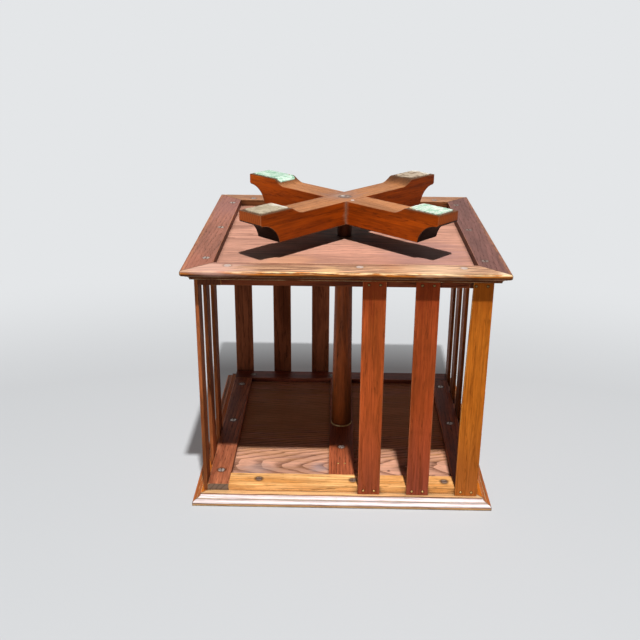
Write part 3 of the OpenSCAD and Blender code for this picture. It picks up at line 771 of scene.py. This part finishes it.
# ---------------------------------------------------------------------------
# The lower battens. Four oak strips screwed inside the frame; they clamp the
# panel's lip and the slats are pinned to them.
# ---------------------------------------------------------------------------
for name, spin in (("front", 0), ("right", -90), ("back", 0), ("left", -90)):
    node = "lower_batten_" + name
    wear(node, stained_oak("oak_" + node, [node], "#7c3d22", "#572716", "#b0703c", (0, 0, spin), seed=8.0,
                           end_grain="#5c301c"))

# ---------------------------------------------------------------------------
# The slats. Twelve thin quarter-sawn oak strips, three on the left half of
# each face. The front ones are bleached by light: the outermost is almost
# yellow, from another tree. Each is held by two pins at each end.
# ---------------------------------------------------------------------------
# heights of the pins and half the gap of a pair, in mm
PIN_HEIGHTS = (67.8, 332.5)
PIN_OFFSET = 6.5
# the plane of the front pins' heads, and a head's radius, in metres
PIN_PLANE = -0.1682
PIN_HEAD = 0.0014
# in mm: a slat is darker over about 50 mm at its foot, and turns grey upwards,
# partly its own colour and partly a painted reflection
SLAT_FOOT = (None, None, 60.0)
SLAT_FOOT_SIZE = 330.0
SLAT_GREYS_FROM = 220.0
SLAT_GREYS_TO = 330.0
for name, light, dark in (("right", "#b0643a", "#784224"), ("back", "#81482e", "#552a18"),
                          ("left", "#8a4a22", "#5a2c12")):
    trio = ["slat_%s_%d" % (name, n) for n in (1, 2, 3)]
    oak = stained_oak("oak_slats_" + name, trio, light, dark, "#b8703c", (0, 90, 0), seed=13.0, figure=0.35,
                      rough=0.60, gloss=0.07)
    for node in trio:
        wear(node, oak)
for n, middle, light, dark, worn, grey, foot in (
        (1, -32.7, "#c55a2b", "#97461c", "#d8905c", "#8e4630", "#7c2c12"),
        (2, -91.7, "#b85026", "#8c3e19", "#d8905c", "#8a4434", "#742810"),
        (3, -150.7, "#cb7222", "#a35413", "#e4a858", "#b4662e", "#94460f")):
    node = "slat_front_%d" % n
    rings = [((middle + gap) / MM, PIN_PLANE, z / MM, PIN_HEAD)
             for gap in (-PIN_OFFSET, PIN_OFFSET) for z in PIN_HEIGHTS]
    wear(node, stained_oak("oak_" + node, [node], light, dark, worn, (0, 90, 0), seed=13.0 + n, figure=0.3,
                           pores=0.55, height_tint=(grey, SLAT_GREYS_FROM, SLAT_GREYS_TO), screws=rings,
                           marks=((SLAT_FOOT, SLAT_FOOT_SIZE, foot, 0.55),)))

# ---------------------------------------------------------------------------
# The top board's frame. The same mitred rails turned over. The ledge and the
# moulding have a thick golden varnish that shines in the light from below. The
# ledges and the front nose are painted bright, as painted light, and the front
# moulding near-white, as painted sheen.
# ---------------------------------------------------------------------------
# the height of the rails' flat upper side in mm
TOP_FACE = 350.0
# under is painted light on the ledges; the front moulding's near-white is a painted sheen
for name, spin, under, light, dark, nose, moulding, varnish in (
        ("front", 0, "#fac58a", "#9c5a34", "#6c3a20", "#e0a468", "#ecd9d6", 1.0),
        ("right", -90, "#d8741c", "#945230", "#66361e", "#b4622c", "#b4622c", 0.05),
        ("back", 0, "#a86434", "#945230", "#66361e", "#945230", "#945230", 0.05),
        ("left", -90, "#d8741c", "#945230", "#66361e", "#b4622c", "#b4622c", 0.05)):
    node = "top_rail_" + name
    wear(node, stained_oak("oak_" + node, [node], light, dark, "#f2cf9c", (0, 0, spin), pith=(70.0, -60.0),
                           lean=0.03, seed=9.0, lit_below=under, mitred=True, varnish=varnish, gloss=0.05,
                           figure=0.3, pores=0.4, shaped=(TOP_FACE, nose, moulding)))

# ---------------------------------------------------------------------------
# The top panel. A wide flat-sawn board with a bold cathedral figure, flush
# with its frame above and recessed between the battens below.
# ---------------------------------------------------------------------------
# the height of its underside in mm
CEILING = 334.5
# golden in the middle, grey near the front from dust and a painted reflection, and two dark knots
TOP_MARKS = (((None, 30.0, CEILING), 105.0, "#c88e50", 0.5), ((28.0, -112.0, CEILING), 11.0, "#a8989a", 0.5),
             ((108.0, -120.0, CEILING), 20.0, "#b8a098", 0.4),
             ((-60.0, -118.0, CEILING), 2.2, "#54342a", 0.8),
             ((-116.0, -129.0, CEILING), 2.4, "#64463a", 0.7))
# its underside is painted in a lighter copy of the stain: painted light
wear("top_panel", stained_oak("oak_top_panel", ["top_panel"], "#a0623c", "#643820", "#a86c46", (0, 0, 0),
                              pith=(-108.0, 30.0), lean=0.16, ring=5.0, figure=0.6, seed=11.0, rub=0.0,
                              rough=0.55, lit_below="#dca488", gloss=0.05, streaky=0.8, marks=TOP_MARKS))

# ---------------------------------------------------------------------------
# The top battens and the cleat. The back batten runs the full width, the side
# ones run from it to the front and show their grey end grain, and the front
# one is of golden oak. The cleat carries the pivot's bore.
# ---------------------------------------------------------------------------
# in metres: the screws' distance from the middle, and the heights of their heads
BATTEN_LINE = 0.151
BATTEN_FACE = 0.3285
CLEAT_FACE = 0.329
BATTEN_SCREWS = {
    "front": [(x, -BATTEN_LINE, BATTEN_FACE, SCREW_HEAD) for x in (-0.126, -0.014, 0.102)],
    "back": [(x, BATTEN_LINE, BATTEN_FACE, SCREW_HEAD) for x in (0.137, 0.014, -0.125)],
    "right": [(BATTEN_LINE, y, BATTEN_FACE, SCREW_HEAD) for y in (-0.132, 0.0, 0.116)],
    "left": [(-BATTEN_LINE, y, BATTEN_FACE, SCREW_HEAD) for y in (-0.132, 0.0, 0.116)],
}
CLEAT_SCREWS = [(0, y, CLEAT_FACE, SCREW_HEAD) for y in (-0.069, 0.069)]
for name, spin, light, dark, streaky in (
        ("front", 0, "#ffc582", "#d89450", 1.7), ("right", -90, "#cc7c56", "#8a4a30", 1.0),
        ("back", 0, "#94503c", "#643020", 1.0), ("left", -90, "#b4603c", "#743822", 1.0)):
    node = "top_batten_" + name
    wear(node, stained_oak("oak_" + node, [node], light, dark, "#d09050", (0, 0, spin), seed=10.0,
                           pith=(60.0, 50.0), lean=0.05, ring=5.0, screws=BATTEN_SCREWS[name],
                           end_grain="#7a6455", streaky=streaky))
wear("top_cleat", stained_oak("oak_top_cleat", ["top_cleat"], "#b05c3a", "#7c3c20", "#b87040", (0, 0, -90),
                              seed=12.0, screws=CLEAT_SCREWS))

# ---------------------------------------------------------------------------
# The fasteners. Slotted steel wood screws, dulled and browned by a century of
# wax, and small round-headed brass pins.
# ---------------------------------------------------------------------------
# the bright metal and the film on it, how metallic it looks, and its roughness
OLD_STEEL = ("#cabcb2", "#6c5448", 0.5, 0.42)
OLD_BRASS = ("#e0bc78", "#94703a", 1.0, 0.30)
# the front row of the lower frame is painted bright, rubbed metal and a painted
# highlight, and the left one is browned; the top battens' front row is browned,
# the back row is painted dark as painted shade, and the pins are painted darker
# downwards, as painted shade under the lower frame
FRAME_ROWS = ((1, -0.145, -0.148, 0.6, "#f6dcd0"), (0, -0.145, -0.148, 0.75, "#6c5448"))
BATTEN_ROWS = ((1, -0.145, -0.148, 0.7, "#7a5236"), (1, 0.145, 0.148, 0.8, "#4a3428"))
PIN_ROWS = ((2, 0.120, 0.080, 0.7, "#3c2818"),)


def old_metal(name, bright, tarnish, metallic, rough, rows):
    """Metal under a patchy brown film. rows are an axis, where on it a change
    starts and ends in metres, its share and its colour."""
    material, tree = new_material(name)
    coords = add(tree, "ShaderNodeTexCoord")
    # the film changes over about 2 mm, and scratches are 0.3 mm apart
    film = add(tree, "ShaderNodeTexNoise", {
        "Vector": coords.outputs["Object"], "Scale": 420.0, "Detail": 4.0})
    scratch = add(tree, "ShaderNodeTexNoise", {
        "Vector": coords.outputs["Object"], "Scale": 3000.0, "Detail": 2.0})
    amount = add(tree, "ShaderNodeMapRange", {"Value": film.outputs[0], "From Min": 0.40, "From Max": 0.62})
    colour = add(tree, "ShaderNodeMix", {0: amount.outputs[0], 6: linear(bright), 7: linear(tarnish)},
                 data_type="RGBA")
    # old wax and painted shade in the slots and round the heads
    shelter = add(tree, "ShaderNodeAmbientOcclusion", {"Distance": 0.0015}, samples=4)
    dirt = add(tree, "ShaderNodeMapRange", {
        "Value": shelter.outputs["AO"], "From Min": 0.8, "From Max": 0.3, "To Min": 0.0, "To Max": 0.85})
    colour = add(tree, "ShaderNodeMix", {0: dirt.outputs[0], 6: colour.outputs[2], 7: linear(SHADE_AND_GRIME)},
                 data_type="RGBA")
    dull = add(tree, "ShaderNodeMath", {0: amount.outputs[0], 1: 0.25, 2: rough}, operation="MULTIPLY_ADD")
    bump = add(tree, "ShaderNodeBump", {"Height": scratch.outputs[0], "Strength": 0.25, "Distance": 0.0001})
    # rows painted another colour: rubbed bright with a painted highlight, browned, and darkened as painted
    # shade
    place = add(tree, "ShaderNodeSeparateXYZ", {0: coords.outputs["Object"]})
    for axis, start, end, share, film_colour in rows:
        row = add(tree, "ShaderNodeMapRange", {
            "Value": place.outputs[axis], "From Min": start, "From Max": end, "To Max": share})
        colour = add(tree, "ShaderNodeMix", {0: row.outputs[0], 6: colour.outputs[2], 7: linear(film_colour)},
                     data_type="RGBA")
    metal = add(tree, "ShaderNodeBsdfPrincipled", {
        "Base Color": colour.outputs[2], "Metallic": metallic, "Roughness": dull.outputs[0],
        "Normal": bump.outputs[0]})
    add(tree, "ShaderNodeOutputMaterial", {"Surface": metal.outputs[0]})
    return material


wear("lower_frame_screws", old_metal("rubbed_and_lit_steel", *OLD_STEEL, FRAME_ROWS))
wear("top_batten_screws", old_metal("browned_and_shaded_steel", *OLD_STEEL, BATTEN_ROWS))
wear("cleat_screws", old_metal("plain_steel", *OLD_STEEL, ()))
brass = old_metal("tarnished_and_shaded_brass", *OLD_BRASS, PIN_ROWS)
for node in ("slat_pins_front", "slat_pins_right", "slat_pins_back", "slat_pins_left", "cleat_pins"):
    wear(node, brass)
